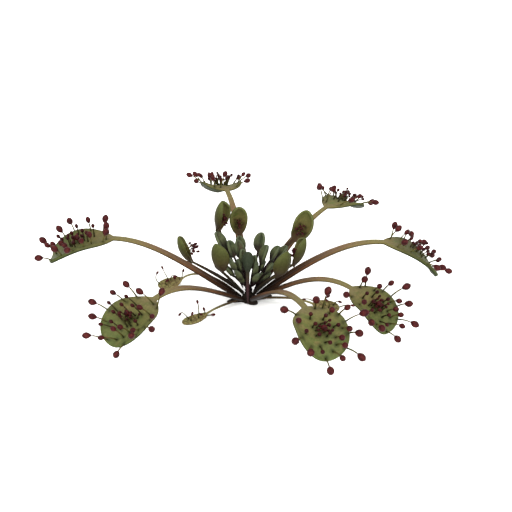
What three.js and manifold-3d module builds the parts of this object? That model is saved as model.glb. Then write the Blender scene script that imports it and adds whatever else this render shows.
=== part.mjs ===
// Sundew plant: a rosette of sticky, spoon-shaped leaves round a short crown, as picked.
// Millimetres, +Z up. The origin is the centre of the crown's flat underside.
// An azimuth of 0 degrees points to the front (-Y) and grows towards +X. Angles are in degrees.
import * as THREE from 'three';
import { mergeVertices } from 'three/addons/utils/BufferGeometryUtils.js';
import Module from 'manifold-3d';

const wasm = await Module();
wasm.setup();

// ---- Driving dimensions ----

// rise, lean and tip: slope of the midline at the crown, at the blade's base and at its tip.
// bend: how late the stalk bends over. width: half the width of the blade, flattened.
// cup: slope of the blade's edges. heads, reach and splay: size of the tentacles' heads, their
// length and their lean, as a part of LARGE_TENTACLES. sway, drift: lean that all of them add
// forward and outward.
const LARGE_LEAVES = [
  { azimuth: -76.5, turn: -11.7, stalk: 37.4, blade: 16.3, rise: 41, lean: 4.8, tip: -41, bend: 3.8,
    roll: 3.8, width: 6.1, cup: 17.5, strap: 1.6, bladeThickness: 0.9, point: 0.33,
    heads: 0.97, reach: 0.88, splay: 0.6, sway: -0.25, drift: 0.2 },
  { azimuth: -37.5, turn: -4, stalk: 36.2, blade: 15, rise: 37, lean: -6, tip: -35, bend: 3.9,
    roll: -6.5, width: 5.9, cup: 38, strap: 1.5, bladeThickness: 0.7,
    heads: 0.9, reach: 1.05, splay: 1.8, sway: -0.2, drift: -0.35 },
  { azimuth: -171.5, turn: 8, stalk: 33.1, blade: 13.1, rise: 37.2, lean: -7.6, tip: -51, bend: 2.8,
    roll: 6, width: 6, cup: 26, strap: 1.35, bladeThickness: 0.75,
    heads: 0.86, reach: 0.95, splay: 1.35, sway: -0.45, drift: 0.1 },
  { azimuth: 137, turn: -3, stalk: 31.1, blade: 13, rise: 34.2, lean: 5.6, tip: -46.5, bend: 2.8,
    roll: -8.4, width: 5.7, cup: 11, strap: 1.4, bladeThickness: 0.85,
    heads: 0.9, reach: 1.05, splay: 1.4, sway: 0.65, drift: 0.3 },
  { azimuth: 92, turn: 5, stalk: 35.9, blade: 17.4, rise: 37.3, lean: -9.4, tip: -62.5, bend: 2.7,
    roll: -5.4, width: 5.9, cup: 6.5, strap: 1.6, bladeThickness: 0.95, point: 0.38,
    heads: 0.95, reach: 0.83, splay: 0.75, sway: 0.25, drift: 0.35 },
  { azimuth: 56.5, turn: -9, stalk: 32.2, blade: 13.9, rise: 39, lean: -10, tip: -57, bend: 3.1,
    roll: 1, width: 5.5, cup: 39, strap: 1.4, bladeThickness: 0.7,
    heads: 0.97, reach: 1, splay: 1.05, sway: -0.1, drift: 0.05 },
  { azimuth: 18, turn: 6, stalk: 40.4, blade: 14.2, rise: 39.5, lean: 1.5, tip: -48.5, bend: 3.2,
    roll: 0, width: 6.2, cup: 40, strap: 1.45, bladeThickness: 0.7,
    heads: 1, reach: 1.1, splay: 1.1, sway: 0.15, drift: 0.1 },
];
const LARGE = { baseRadius: 2.2, baseHeight: 1.5, neck: 0.5, ramp: 5.5, swell: 0.65, point: 0.5,
  stalkThickness: 1.1, onset: 0.5, floor: -100 };

// A stalk that starts low on the crown and is straight before its blade.
const LOW = { baseRadius: 1.2, baseHeight: 2.2, bend: 0.6 };
const YOUNG_LEAVES = [
  { azimuth: -131.5, turn: 1.5, stalk: 15.9, blade: 9.6, rise: 60, lean: 62, tip: 132, roll: 10,
    width: 3.9, cup: 105, reach: 2.6, strap: 0.45, neck: 0.85 },
  { azimuth: -165.5, turn: 0.5, stalk: 13.5, blade: 8.3, rise: 63.5, lean: 48, tip: 121, roll: 0,
    width: 2.6, cup: 46, reach: 1.6 },
  { azimuth: 122, turn: -1.5, stalk: 15.9, blade: 9.3, rise: 56, lean: 25.5, tip: 100, roll: 40,
    width: 3.1, cup: 66, reach: 3.1 },
  { azimuth: -97.5, turn: 6, stalk: 15.4, blade: 8.6, rise: 40.5, lean: 29, tip: 102, roll: 6,
    width: 3, cup: 77, reach: 4, strap: 0.85, neck: 0.38, ...LOW },
  { azimuth: -46, turn: 2, stalk: 13, blade: 8.3, rise: 57, lean: 50, tip: 121, roll: 0,
    width: 3.7, cup: 80, reach: 1.8, strap: 0.9, neck: 0.45 },
  { azimuth: 50, turn: 2, stalk: 12.1, blade: 8.3, rise: 57, lean: 34, tip: 121, roll: 0,
    width: 3.9, cup: 78, reach: 1.5, strap: 1.2, neck: 0.85 },
  { azimuth: 86, turn: 0, stalk: 13.3, blade: 8.8, rise: 52, lean: 37, tip: 101, roll: 0,
    width: 3.7, cup: 84, reach: 2.6, strap: 1, neck: 0.35, ...LOW },
];
const YOUNG = { baseRadius: 1.9, baseHeight: 2.9, bend: 1.5, strap: 0.6, neck: 0.85, ramp: 3,
  swell: 0.55, point: 0.44, stalkThickness: 0.7, bladeThickness: 0.6, onset: 0.25,
  floor: -100 };

const OLD_LEAVES = [
  { azimuth: -111, turn: 8.5, stalk: 17.4, blade: 7.5, rise: 33, lean: -50, tip: 6.5, roll: -6.5,
    width: 2.6, cup: 13 },
  { azimuth: -58.5, turn: 4.5, stalk: 9.8, blade: 7.3, rise: 3, lean: -15, tip: 15, roll: 1,
    width: 1.7, cup: 20 },
  { azimuth: 76, turn: 10, stalk: 14.2, blade: 7, rise: 12, lean: -23, tip: 8.5, roll: 0,
    width: 2.6, cup: 20 },
];
const OLD = { baseRadius: 2.6, baseHeight: 1.1, bend: 2, strap: 0.35, neck: 0.85, ramp: 3,
  swell: 0.6, point: 0.5, stalkThickness: 0.6, bladeThickness: 0.6, onset: 0.5,
  floor: 0 };

// Each heart leaf: azimuth, distance and height of the blade's middle, blade length, half width.
const HEART_LEAVES = [
  [-119, 8.3, 15.2, 5.4, 1.9], [-124, 5.4, 13.6, 4.8, 1.6], [-150, 4.9, 12.8, 4.8, 1.5],
  [-160, 6.3, 13.4, 4.2, 1.5], [-140, 2.4, 12, 4.4, 1.3], [-68, 4.4, 11.8, 4.2, 1.5],
  [-92, 2.4, 10.4, 4, 1.4], [-52, 3.4, 9, 4, 1.3], [140, 2.4, 10.4, 4, 1.3],
  [62, 2.2, 9.7, 3.8, 1.1], [149, 5.9, 14.4, 5.2, 1.8], [108, 4.3, 12.8, 5.8, 1.9],
  [104, 7, 13, 4.6, 1.7], [109, 9.2, 12.6, 4, 1.5], [86, 4.4, 7.4, 3.8, 1.2],
  [40, 3.3, 8.4, 3.8, 1.2], [-80, 4.8, 9.2, 3.8, 1.3], [180, 3.6, 9.6, 3.6, 1.3],
  [80, 5.4, 10.2, 3.8, 1.3], [-112, 3.8, 8.8, 3.6, 1.3], [84, 1.9, 10.3, 3.2, 1.1],
  [100, 3.6, 10.2, 3.2, 1.1], [90, 2.8, 6.9, 3.4, 0.8], [-50, 2.4, 7.4, 3.2, 0.9],
];
const HEART = { baseRadius: 0.5, baseHeight: 3.9, coreBottom: 2.95, coreTop: 4.8, coreRadius: 1.05,
  curl: 8, bend: 1.5, strap: 0.3, neck: 1, ramp: 3, swell: 0.5, point: 0.5, cup: 62,
  stalkThickness: 0.6, bladeThickness: 0.6, onset: 0.4, floor: -100 };
// The heart leaf that stands in front of the crown, on a long stalk of its own.
const FRONT_LEAF = { azimuth: -4, turn: 0, baseRadius: 2.34, baseHeight: 0.35, stalk: 9.6,
  blade: 5.9, rise: 85, lean: 92, tip: 108, roll: 0, bend: 1.5, strap: 0.31, neck: 1.6, ramp: 3,
  swell: 0.9, point: 0.5, width: 1.5, cup: 62, stalkThickness: 0.6, bladeThickness: 0.6,
  onset: 0.4, floor: -100 };

// Tentacles of a large leaf. along: 0 at the blade's base, 1 at its tip. across: -1 to 1 from
// edge to edge. forward and outward: lean towards the tip and across, next to 1 upwards.
// length: root to the middle of the head. head: length of the head.
const BIG_HEAD = 2.4;
const MIDDLE_HEAD = 1.9;
const LARGE_TENTACLES = [
  { along: 0.15, across: 0.82, forward: -0.2, outward: 0.25, length: 4.3, head: BIG_HEAD },
  { along: 0.1, across: 0.55, forward: 0.3, outward: -0.25, length: 4.6, head: BIG_HEAD },
  { along: 0.16, across: -0.76, forward: -0.05, outward: -1.4, length: 4.1, head: BIG_HEAD },
  { along: 0.4, across: 0.87, forward: 0.15, outward: 1.05, length: 3.3, head: MIDDLE_HEAD },
  { along: 0.54, across: 0.89, forward: 0.5, outward: 4.3, length: 4.7, head: BIG_HEAD },
  { along: 0.3, across: 0.7, forward: 0.3, outward: 0.05, length: 3.4, head: MIDDLE_HEAD },
  { along: 0.34, across: -0.72, forward: 0.4, outward: -0.9, length: 3.7, head: MIDDLE_HEAD },
  { along: 0.53, across: -0.02, forward: 0, outward: 0.05, length: 2.1, head: MIDDLE_HEAD },
  { along: 0.6, across: 0.75, forward: 0.5, outward: 0.6, length: 2.9, head: MIDDLE_HEAD },
  { along: 0.71, across: 0.91, forward: 0.4, outward: 0.95, length: 3.7, head: BIG_HEAD },
  { along: 0.69, across: 0.43, forward: 0.25, outward: 0.2, length: 3.3, head: MIDDLE_HEAD },
  { along: 0.8, across: 0.41, forward: 0.15, outward: 0.2, length: 4.1, head: MIDDLE_HEAD },
  { along: 0.87, across: 0.22, forward: 0.4, outward: 0.05, length: 4.3, head: MIDDLE_HEAD },
  { along: 0.74, across: -0.65, forward: 0.65, outward: -1.35, length: 3.7, head: BIG_HEAD },
  { along: 0.6, across: -0.87, forward: 1.15, outward: -3.7, length: 4.1, head: BIG_HEAD },
  { along: 0.88, across: 0.9, forward: 1.3, outward: 1.3, length: 4.3, head: BIG_HEAD },
  { along: 0.94, across: -0.31, forward: 0.55, outward: -0.65, length: 4.9, head: BIG_HEAD },
];
const YOUNG_TENTACLES = [
  { along: 0.22, across: 0.1 }, { along: 0.3, across: 0.45 }, { along: 0.33, across: -0.4 },
  { along: 0.45, across: 0.15 }, { along: 0.5, across: -0.25 },
];
const YOUNG_HEAD = 0.9;
const OLD_TENTACLES = [
  { along: 0.15, across: 0.3 }, { along: 0.35, across: -0.5 }, { along: 0.5, across: 0.5 },
  { along: 0.72, across: -0.3 },
];
const OLD_REACH = 3.2;
const OLD_HEAD = 0.9;
const TENTACLE = { sides: 4, rootRadius: 0.3, neckRadius: 0.21, headAspect: 0.41, sink: 0.06 };

const CROWN = { radius: 1.85, height: 2.6, lobeHeight: 0.9, sides: 36,
  lobes: [{ azimuth: -80, reach: 3.8, spread: 12 }, { azimuth: 105, reach: 4.4, spread: 12 },
    { azimuth: 42, reach: 1.2, spread: 28 }] };

const TOLERANCE = 0.02;
const COLOURS = { large: 0x7f8250, young: 0x6a7042, old: 0x8f8655, heart: 0x4d5a45, crown: 0x3a2c26 };

// ---- Small helpers ----

const DEGREES = Math.PI / 180;
const clamp01 = (x) => Math.min(Math.max(x, 0), 1);
const mix = (a, b, t) => a + (b - a) * t;
const smooth = (x) => clamp01(x) ** 2 * (3 - 2 * clamp01(x));

// A closed geometry as a solid with shared corners.
function solid(geometry) {
  geometry.deleteAttribute('normal');
  geometry.deleteAttribute('uv');
  const merged = mergeVertices(geometry, 1e-5);
  return new wasm.Manifold(new wasm.Mesh({
    numProp: 3,
    vertProperties: new Float32Array(merged.attributes.position.array),
    triVerts: new Uint32Array(merged.index.array),
  }));
}

// A solid as a named mesh of one colour.
function mesh(name, shape, colour, roughness) {
  const { vertProperties, triVerts } = shape.simplify(TOLERANCE).getMesh();
  const geometry = new THREE.BufferGeometry();
  geometry.setAttribute('position', new THREE.BufferAttribute(vertProperties, 3));
  geometry.setIndex(new THREE.BufferAttribute(triVerts, 1));
  geometry.computeVertexNormals();
  const material = new THREE.MeshStandardMaterial({ color: colour, roughness, metalness: 0 });
  const result = new THREE.Mesh(geometry, material);
  result.name = name;
  return result;
}

// ---- Leaves ----

// The direction of a leaf's midline at the fraction s of its length.
function heading(leaf, s) {
  const joint = leaf.stalk / (leaf.stalk + leaf.blade);
  const onStalk = clamp01(s / joint);
  const onBlade = clamp01((s - joint) / (1 - joint));
  const slope = leaf.rise + (leaf.lean - leaf.rise) * onStalk ** leaf.bend
    + (leaf.tip - leaf.lean) * onBlade;
  return { slope: slope * DEGREES, azimuth: (leaf.azimuth + leaf.turn * s) * DEGREES };
}

// The midline as points at equal steps.
const MIDLINE_STEPS = 120;
function midline(leaf) {
  const step = (leaf.stalk + leaf.blade) / MIDLINE_STEPS;
  const azimuth = leaf.azimuth * DEGREES;
  const point = new THREE.Vector3(leaf.baseRadius * Math.sin(azimuth),
    -leaf.baseRadius * Math.cos(azimuth), leaf.baseHeight);
  const points = [point.clone()];
  for (let i = 0; i < MIDLINE_STEPS; i += 1) {
    const { slope, azimuth: turn } = heading(leaf, (i + 0.5) / MIDLINE_STEPS);
    point.x += Math.sin(turn) * Math.cos(slope) * step;
    point.y -= Math.cos(turn) * Math.cos(slope) * step;
    point.z += Math.sin(slope) * step;
    points.push(point.clone());
  }
  return points;
}

// Half the width of the leaf, measured round its section, at the fraction s of its length.
function halfWidth(leaf, s) {
  const joint = leaf.stalk / (leaf.stalk + leaf.blade);
  const x = clamp01((s - joint) / (1 - joint));
  const widest = leaf.swell / (leaf.swell + leaf.point);
  const blade = leaf.width * (x / widest) ** leaf.swell
    * (Math.max(1 - x, 0.004) / (1 - widest)) ** leaf.point;
  const ramp = 0.3 + 0.7 * clamp01(s * (leaf.stalk + leaf.blade) / leaf.ramp);
  const strap = mix(leaf.strap, leaf.strap * leaf.neck, clamp01(s / joint)) * ramp;
  return Math.hypot(blade, s > joint ? leaf.strap * leaf.neck * (1 - x) ** 2 : strap);
}

// Point and axes of the leaf's middle surface at s along it and u (-1 to 1) across it.
function onLeaf(leaf, points, s, u) {
  const joint = leaf.stalk / (leaf.stalk + leaf.blade);
  const place = Math.min(s * MIDLINE_STEPS, MIDLINE_STEPS - 1e-6);
  const before = Math.floor(place);
  const { slope, azimuth } = heading(leaf, s);
  const along = new THREE.Vector3(Math.sin(azimuth) * Math.cos(slope),
    -Math.cos(azimuth) * Math.cos(slope), Math.sin(slope));
  const roll = leaf.roll * DEGREES * smooth((s / joint - 0.5) * 2);
  const side = new THREE.Vector3(Math.cos(azimuth), Math.sin(azimuth), 0);
  side.applyAxisAngle(along, roll);
  const up = along.clone().cross(side);
  const fold = Math.max(leaf.cup * DEGREES * smooth((s - joint) / (1 - joint) / leaf.onset), 1e-4);
  const width = halfWidth(leaf, s);
  const point = points[before].clone().lerp(points[before + 1], place - before);
  point.addScaledVector(side, width * Math.sin(fold * u) / fold);
  point.addScaledVector(up, width * (1 - Math.cos(fold * u)) / fold);
  const normal = up.clone().multiplyScalar(Math.cos(fold * u));
  normal.addScaledVector(side, -Math.sin(fold * u));
  const across = side.clone().multiplyScalar(Math.cos(fold * u));
  across.addScaledVector(up, Math.sin(fold * u));
  return { point, along, across, normal };
}

// Stations along a leaf: a few on the stalk, closer at its base, and a few on the blade.
function stations(leaf, onStalk, onBlade) {
  const length = leaf.stalk + leaf.blade;
  const list = [0, leaf.ramp / 2 / length];
  for (let i = 0; i < onStalk; i += 1) {
    list.push(mix(leaf.ramp, leaf.stalk, i / onStalk) / length);
  }
  for (let i = 0; i <= onBlade; i += 1) {
    const x = 1 - (1 - i / onBlade) ** 1.5;
    list.push((leaf.stalk + leaf.blade * x) / length);
  }
  return list;
}

// The solid of a stalk and blade. The section is a bent strip with `sides` corners.
function blade(leaf, points, onStalk, onBlade, sides) {
  const rows = stations(leaf, onStalk, onBlade);
  const joint = leaf.stalk / (leaf.stalk + leaf.blade);
  const geometry = new THREE.CylinderGeometry(1, 1, 1, sides, rows.length - 1);
  const corner = new THREE.Vector3();
  const place = geometry.attributes.position;
  for (let i = 0; i < place.count; i += 1) {
    corner.fromBufferAttribute(place, i);
    const s = rows[Math.round((corner.y + 0.5) * (rows.length - 1))];
    const edge = Math.sin(Math.PI * 2 * Math.floor(sides / 4) / sides);
    const u = Math.max(-1, Math.min(1, corner.x / edge));
    const level = Math.abs(corner.x) + Math.abs(corner.z) < 1e-6 ? 0 : -Math.sign(corner.z);
    const { point, normal } = onLeaf(leaf, points, s, u);
    const thickness = mix(leaf.stalkThickness, leaf.bladeThickness, clamp01(s / joint));
    point.addScaledVector(normal, level * thickness / 2);
    point.z = Math.max(point.z, leaf.floor + (level + 1) * thickness / 2);
    place.setXYZ(i, point.x, point.y, point.z);
  }
  return solid(geometry);
}

// A tentacle: a thin stalk with an egg-shaped head, its root sunk below the surface.
function tentacle(root, direction, length, head, thin = 1) {
  const { sides, rootRadius, neckRadius, headAspect, sink } = TENTACLE;
  const radius = head * headAspect;
  const rings = [[-sink, rootRadius * thin], [length - head * 0.5, neckRadius * thin],
    [length - head * 0.2, radius], [length + head * 0.25, radius * 0.85]];
  const geometry = new THREE.CylinderGeometry(1, 1, 1, sides, rings.length - 1);
  const toward = new THREE.Quaternion()
    .setFromUnitVectors(new THREE.Vector3(0, 1, 0), direction);
  const corner = new THREE.Vector3();
  const place = geometry.attributes.position;
  for (let i = 0; i < place.count; i += 1) {
    corner.fromBufferAttribute(place, i);
    const [height, wide] = rings[Math.round((corner.y + 0.5) * (rings.length - 1))];
    const pole = Math.abs(corner.x) + Math.abs(corner.z) < 1e-6 && corner.y > 0;
    corner.set(corner.x * wide, pole ? length + head * 0.5 : height, corner.z * wide);
    corner.applyQuaternion(toward).add(root);
    place.setXYZ(i, corner.x, corner.y, corner.z);
  }
  return solid(geometry);
}

// One tentacle standing on a leaf, leaning by forward and outward.
function tentacleOn(leaf, points, spot) {
  const joint = leaf.stalk / (leaf.stalk + leaf.blade);
  const seat = onLeaf(leaf, points, mix(joint, 1, spot.along), spot.across);
  seat.point.z = Math.max(seat.point.z, leaf.floor + leaf.bladeThickness / 2);
  const direction = seat.normal.clone();
  direction.addScaledVector(seat.along, spot.forward).addScaledVector(seat.across, spot.outward);
  return tentacle(seat.point, direction.normalize(), spot.length, spot.head, spot.thin);
}

function largeLeaf(leaf) {
  const points = midline(leaf);
  const tentacles = LARGE_TENTACLES.map((spot) => tentacleOn(leaf, points, { ...spot,
    forward: spot.forward * leaf.splay + leaf.sway, outward: spot.outward * leaf.splay + leaf.drift,
    length: spot.length * leaf.reach, head: spot.head * leaf.heads }));
  return wasm.Manifold.union([blade(leaf, points, 5, 7, 10), ...tentacles]);
}

function youngLeaf(leaf) {
  const points = midline(leaf);
  const tentacles = YOUNG_TENTACLES.map((spot) => tentacleOn(leaf, points, { ...spot,
    forward: 0.1, outward: -0.4 * spot.across, length: leaf.reach, head: YOUNG_HEAD }));
  return wasm.Manifold.union([blade(leaf, points, 3, 6, 10), ...tentacles]);
}

function oldLeaf(leaf) {
  const points = midline(leaf);
  const tentacles = OLD_TENTACLES.map((spot, i) => tentacleOn(leaf, points, { ...spot,
    forward: 0.3 * Math.sin(i * 2.4), outward: 0.6 * spot.across, length: OLD_REACH,
    head: OLD_HEAD, thin: 0.8 }));
  return wasm.Manifold.union([blade(leaf, points, 5, 6, 6), ...tentacles]);
}

// The heart: small folded leaves standing on one core.
function heartLeaf([azimuth, reach, height, length, width]) {
  const out = reach - HEART.baseRadius;
  const rise = height - HEART.baseHeight;
  const leaf = { ...HEART, azimuth, turn: 0, blade: length, width, roll: 0,
    stalk: Math.hypot(out, rise) - length / 2, rise: Math.atan2(rise, out) / DEGREES };
  leaf.lean = leaf.rise;
  leaf.tip = leaf.rise + HEART.curl;
  return blade(leaf, midline(leaf), 1, 4, 6);
}

function heart() {
  const core = new THREE.CylinderGeometry(HEART.coreRadius * 0.5, HEART.coreRadius,
    HEART.coreTop - HEART.coreBottom, 10);
  core.rotateX(Math.PI / 2);
  core.translate(0, 0, (HEART.coreTop + HEART.coreBottom) / 2);
  return wasm.Manifold.union([solid(core), ...HEART_LEAVES.map(heartLeaf)]);
}

// ---- Crown ----

// How far the crown's outline reaches at an azimuth.
function crownReach(azimuth) {
  return CROWN.lobes.reduce((sum, lobe) => {
    const off = Math.atan2(Math.sin(azimuth - lobe.azimuth * DEGREES),
      Math.cos(azimuth - lobe.azimuth * DEGREES)) / DEGREES;
    return sum + lobe.reach * Math.exp(-((off / lobe.spread) ** 2));
  }, CROWN.radius);
}

// A flat-bottomed stub with low lobes, the stumps of earlier leaves.
function crown() {
  const rings = [[0, 1, 0.1], [CROWN.lobeHeight * 0.5, 1, 0], [CROWN.lobeHeight, 0.7, 0.3],
    [CROWN.lobeHeight + 0.15, 0.1, 0.05], [1.3, 0, -0.15], [1.5, 0, -0.75], [1.7, 0, -0.92],
    [CROWN.height, 0, -1]];
  const geometry = new THREE.CylinderGeometry(1, 1, 1, CROWN.sides, rings.length - 1);
  const place = geometry.attributes.position;
  for (let i = 0; i < place.count; i += 1) {
    const azimuth = Math.atan2(place.getX(i), place.getZ(i));
    const spread = Math.hypot(place.getX(i), place.getZ(i));
    const [height, lobed, grow] = rings[Math.round((place.getY(i) + 0.5) * (rings.length - 1))];
    const lobe = (crownReach(azimuth) - CROWN.radius) * lobed;
    const radius = spread * (CROWN.radius + lobe + (lobed > 0 ? -grow : grow));
    place.setXYZ(i, radius * Math.sin(azimuth), -radius * Math.cos(azimuth), height);
  }
  return solid(geometry);
}

// ---- The plant ----

const plant = new THREE.Group();
plant.name = 'sundew_plant';
plant.add(mesh('crown', crown(), COLOURS.crown, 0.9));
LARGE_LEAVES.forEach((leaf, i) => {
  plant.add(mesh(`large_leaf_${i + 1}`, largeLeaf({ ...LARGE, ...leaf }), COLOURS.large, 0.6));
});
YOUNG_LEAVES.forEach((leaf, i) => {
  plant.add(mesh(`young_leaf_${i + 1}`, youngLeaf({ ...YOUNG, ...leaf }), COLOURS.young, 0.6));
});
OLD_LEAVES.forEach((leaf, i) => {
  plant.add(mesh(`old_leaf_${i + 1}`, oldLeaf({ ...OLD, ...leaf }), COLOURS.old, 0.8));
});
plant.add(mesh('heart_leaves', heart(), COLOURS.heart, 0.65));
plant.add(mesh('front_leaf', blade(FRONT_LEAF, midline(FRONT_LEAF), 3, 5, 8), COLOURS.heart, 0.65));

export default plant;
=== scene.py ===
"""A sundew plant as picked: a rosette of sticky, spoon-shaped leaves round a short crown.

Metres, +Z up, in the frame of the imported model. Leaf sizes are held in millimetres and degrees.
An azimuth of 0 degrees points to the front (-Y) and grows towards +X.
"""

import math

import bpy
import numpy as np
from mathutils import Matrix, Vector


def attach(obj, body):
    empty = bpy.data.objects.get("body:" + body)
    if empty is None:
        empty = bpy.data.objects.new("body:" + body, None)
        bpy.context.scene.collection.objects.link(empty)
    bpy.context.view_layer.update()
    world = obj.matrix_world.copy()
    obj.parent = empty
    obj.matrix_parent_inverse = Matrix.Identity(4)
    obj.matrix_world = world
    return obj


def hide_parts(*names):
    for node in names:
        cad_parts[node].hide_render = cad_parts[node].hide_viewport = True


bl_info = {
    "name": "Sundew plant",
    "version": (1, 0, 0),
    "blender": (4, 5, 0),
    "location": "3D View > Sidebar > Sundew",
    "description": "Builds a sundew rosette with glandular tentacles round its packed model",
    "category": "Object",
}

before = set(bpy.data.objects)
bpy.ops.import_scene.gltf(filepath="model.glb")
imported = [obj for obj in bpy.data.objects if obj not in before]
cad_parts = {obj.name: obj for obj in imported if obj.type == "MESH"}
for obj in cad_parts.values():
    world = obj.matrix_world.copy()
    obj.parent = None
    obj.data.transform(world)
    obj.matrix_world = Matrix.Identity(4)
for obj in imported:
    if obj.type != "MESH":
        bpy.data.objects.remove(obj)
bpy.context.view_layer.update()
MM = 0.001

# ---- Sizes, in millimetres and degrees ----

# azimuth, turn: heading at the crown and how far it swings. stalk, blade: lengths. rise, lean,
# tip: slope at the crown, at the blade's base and at its tip. bend: how late the stalk bends.
# roll: twist of the blade. width: half the flattened blade. cup: slope of its edges. strap: half
# the stalk's width. heads, reach, splay: size, length and lean of the tentacles. sway, drift:
# their common lean forward and outward. The last column is painted shade: how much darker the far
# end of the blade is painted on a leaf that gets less light than the front one. base_radius,
# base_height: where the stalk starts. neck: how much it narrows. ramp: over what length it widens
# at its foot. swell, point: exponents of the blade's outline. onset: by what part of the blade its
# cup is full. floor: the level that no point of the leaf goes below.
LARGE_KEYS = ("azimuth", "turn", "stalk", "blade", "rise", "lean", "tip", "bend", "roll", "width",
              "cup", "strap", "blade_thickness", "point", "heads", "reach", "splay", "sway",
              "drift", "away_shade")
LARGE_LEAVES = (
    (-76.5, -11.7, 37.4, 16.3, 41, 4.8, -41, 3.8, 3.8, 6.1, 17.5, 1.6, 0.9, 0.33, 0.97, 0.88, 0.6,
     -0.25, 0.2, 0.32),
    (-37.5, -4, 36.2, 15, 37, -6, -35, 3.9, -6.5, 5.9, 38, 1.5, 0.7, 0.5, 0.9, 1.05, 1.8, -0.2,
     -0.35, 0.14),
    (-171.5, 8, 33.1, 13.1, 37.2, -7.6, -51, 2.8, 6, 6, 26, 1.35, 0.75, 0.5, 0.86, 0.95, 1.35,
     -0.45, 0.1, 0.25),
    (137, -3, 31.1, 13, 34.2, 5.6, -46.5, 2.8, -8.4, 5.7, 11, 1.4, 0.85, 0.5, 0.9, 1.05, 1.4,
     0.65, 0.3, 0.12),
    (92, 5, 35.9, 17.4, 37.3, -9.4, -62.5, 2.7, -5.4, 5.9, 6.5, 1.6, 0.95, 0.38, 0.95, 0.83,
     0.75, 0.25, 0.35, 0.45),
    (56.5, -9, 32.2, 13.9, 39, -10, -57, 3.1, 1, 5.5, 39, 1.4, 0.7, 0.5, 0.97, 1, 1.05, -0.1,
     0.05, 0.14),
    (18, 6, 40.4, 14.2, 39.5, 1.5, -48.5, 3.2, 0, 6.2, 40, 1.45, 0.7, 0.5, 1, 1.1, 1.1, 0.15,
     0.1, 0),
)
LEAF = {"turn": 0, "roll": 0, "bend": 1.5, "ramp": 3, "point": 0.5, "stalk_thickness": 0.6,
        "blade_thickness": 0.6, "floor": -100}
LARGE = {**LEAF, "base_radius": 2.2, "base_height": 1.5, "neck": 0.5, "ramp": 5.5, "swell": 0.65,
         "stalk_thickness": 1.1, "onset": 0.5}

YOUNG_KEYS = ("azimuth", "turn", "stalk", "blade", "rise", "lean", "tip", "roll", "width", "cup",
              "reach", "strap", "neck")
YOUNG_LEAVES = (
    (-131.5, 1.5, 15.9, 9.6, 60, 62, 132, 10, 3.9, 105, 2.6, 0.45, 0.85),
    (-165.5, 0.5, 13.5, 8.3, 63.5, 48, 121, 0, 2.6, 46, 1.6, 0.6, 0.85),
    (122, -1.5, 15.9, 9.3, 56, 25.5, 100, 40, 3.1, 66, 3.1, 0.6, 0.85),
    (-97.5, 6, 15.4, 8.6, 40.5, 29, 102, 6, 3, 77, 4, 0.85, 0.38),
    (-46, 2, 13, 8.3, 57, 50, 121, 0, 3.7, 80, 1.8, 0.9, 0.45),
    (50, 2, 12.1, 8.3, 57, 34, 121, 0, 3.9, 78, 1.5, 1.2, 0.85),
    (86, 0, 13.3, 8.8, 52, 37, 101, 0, 3.7, 84, 2.6, 1, 0.35),
)
YOUNG = {**LEAF, "base_radius": 1.9, "base_height": 2.9, "swell": 0.55, "point": 0.44,
         "stalk_thickness": 0.7, "onset": 0.25}
# The stalks of these two start low on the crown.
LOW_LEAVES = (4, 7)
LOW = {"base_radius": 1.2, "base_height": 2.2, "bend": 0.6}

OLD_KEYS = ("azimuth", "turn", "stalk", "blade", "rise", "lean", "tip", "roll", "width", "cup")
OLD_LEAVES = (
    (-111, 8.5, 17.4, 7.5, 33, -50, 6.5, -6.5, 2.6, 13),
    (-58.5, 4.5, 9.8, 7.3, 3, -15, 15, 1, 1.7, 20),
    (76, 10, 14.2, 7, 12, -23, 8.5, 0, 2.6, 20),
)
OLD = {**LEAF, "base_radius": 2.6, "base_height": 1.1, "bend": 2, "strap": 0.35, "neck": 0.85,
       "swell": 0.6, "onset": 0.5, "floor": 0}

# Heart leaves: azimuth, distance and height of the blade's middle, blade length, half width.
HEART_LEAVES = (
    (-119, 8.3, 15.2, 5.4, 1.9), (-124, 5.4, 13.6, 4.8, 1.6), (-150, 4.9, 12.8, 4.8, 1.5),
    (-160, 6.3, 13.4, 4.2, 1.5), (-140, 2.4, 12, 4.4, 1.3), (-68, 4.4, 11.8, 4.2, 1.5),
    (-92, 2.4, 10.4, 4, 1.4), (-52, 3.4, 9, 4, 1.3), (140, 2.4, 10.4, 4, 1.3),
    (62, 2.2, 9.7, 3.8, 1.1), (149, 5.9, 14.4, 5.2, 1.8), (108, 4.3, 12.8, 5.8, 1.9),
    (104, 7, 13, 4.6, 1.7), (109, 9.2, 12.6, 4, 1.5), (86, 4.4, 7.4, 3.8, 1.2),
    (40, 3.3, 8.4, 3.8, 1.2), (-80, 4.8, 9.2, 3.8, 1.3), (180, 3.6, 9.6, 3.6, 1.3),
    (80, 5.4, 10.2, 3.8, 1.3), (-112, 3.8, 8.8, 3.6, 1.3), (84, 1.9, 10.3, 3.2, 1.1),
    (100, 3.6, 10.2, 3.2, 1.1), (90, 2.8, 6.9, 3.4, 0.8), (-50, 2.4, 7.4, 3.2, 0.9),
)
HEART = {**LEAF, "base_radius": 0.5, "base_height": 3.9, "curl": 8, "strap": 0.3, "neck": 1,
         "swell": 0.5, "cup": 62, "onset": 0.4}
FRONT_LEAF = {**LEAF, "azimuth": -4, "base_radius": 2.34, "base_height": 0.35, "stalk": 9.6,
              "blade": 5.9, "rise": 85, "lean": 92, "tip": 108, "strap": 0.31, "neck": 1.6,
              "swell": 0.9, "width": 1.5, "cup": 62, "onset": 0.4}
CORE = {"bottom": 2.95, "top": 4.8, "radius": 1.05}

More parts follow.
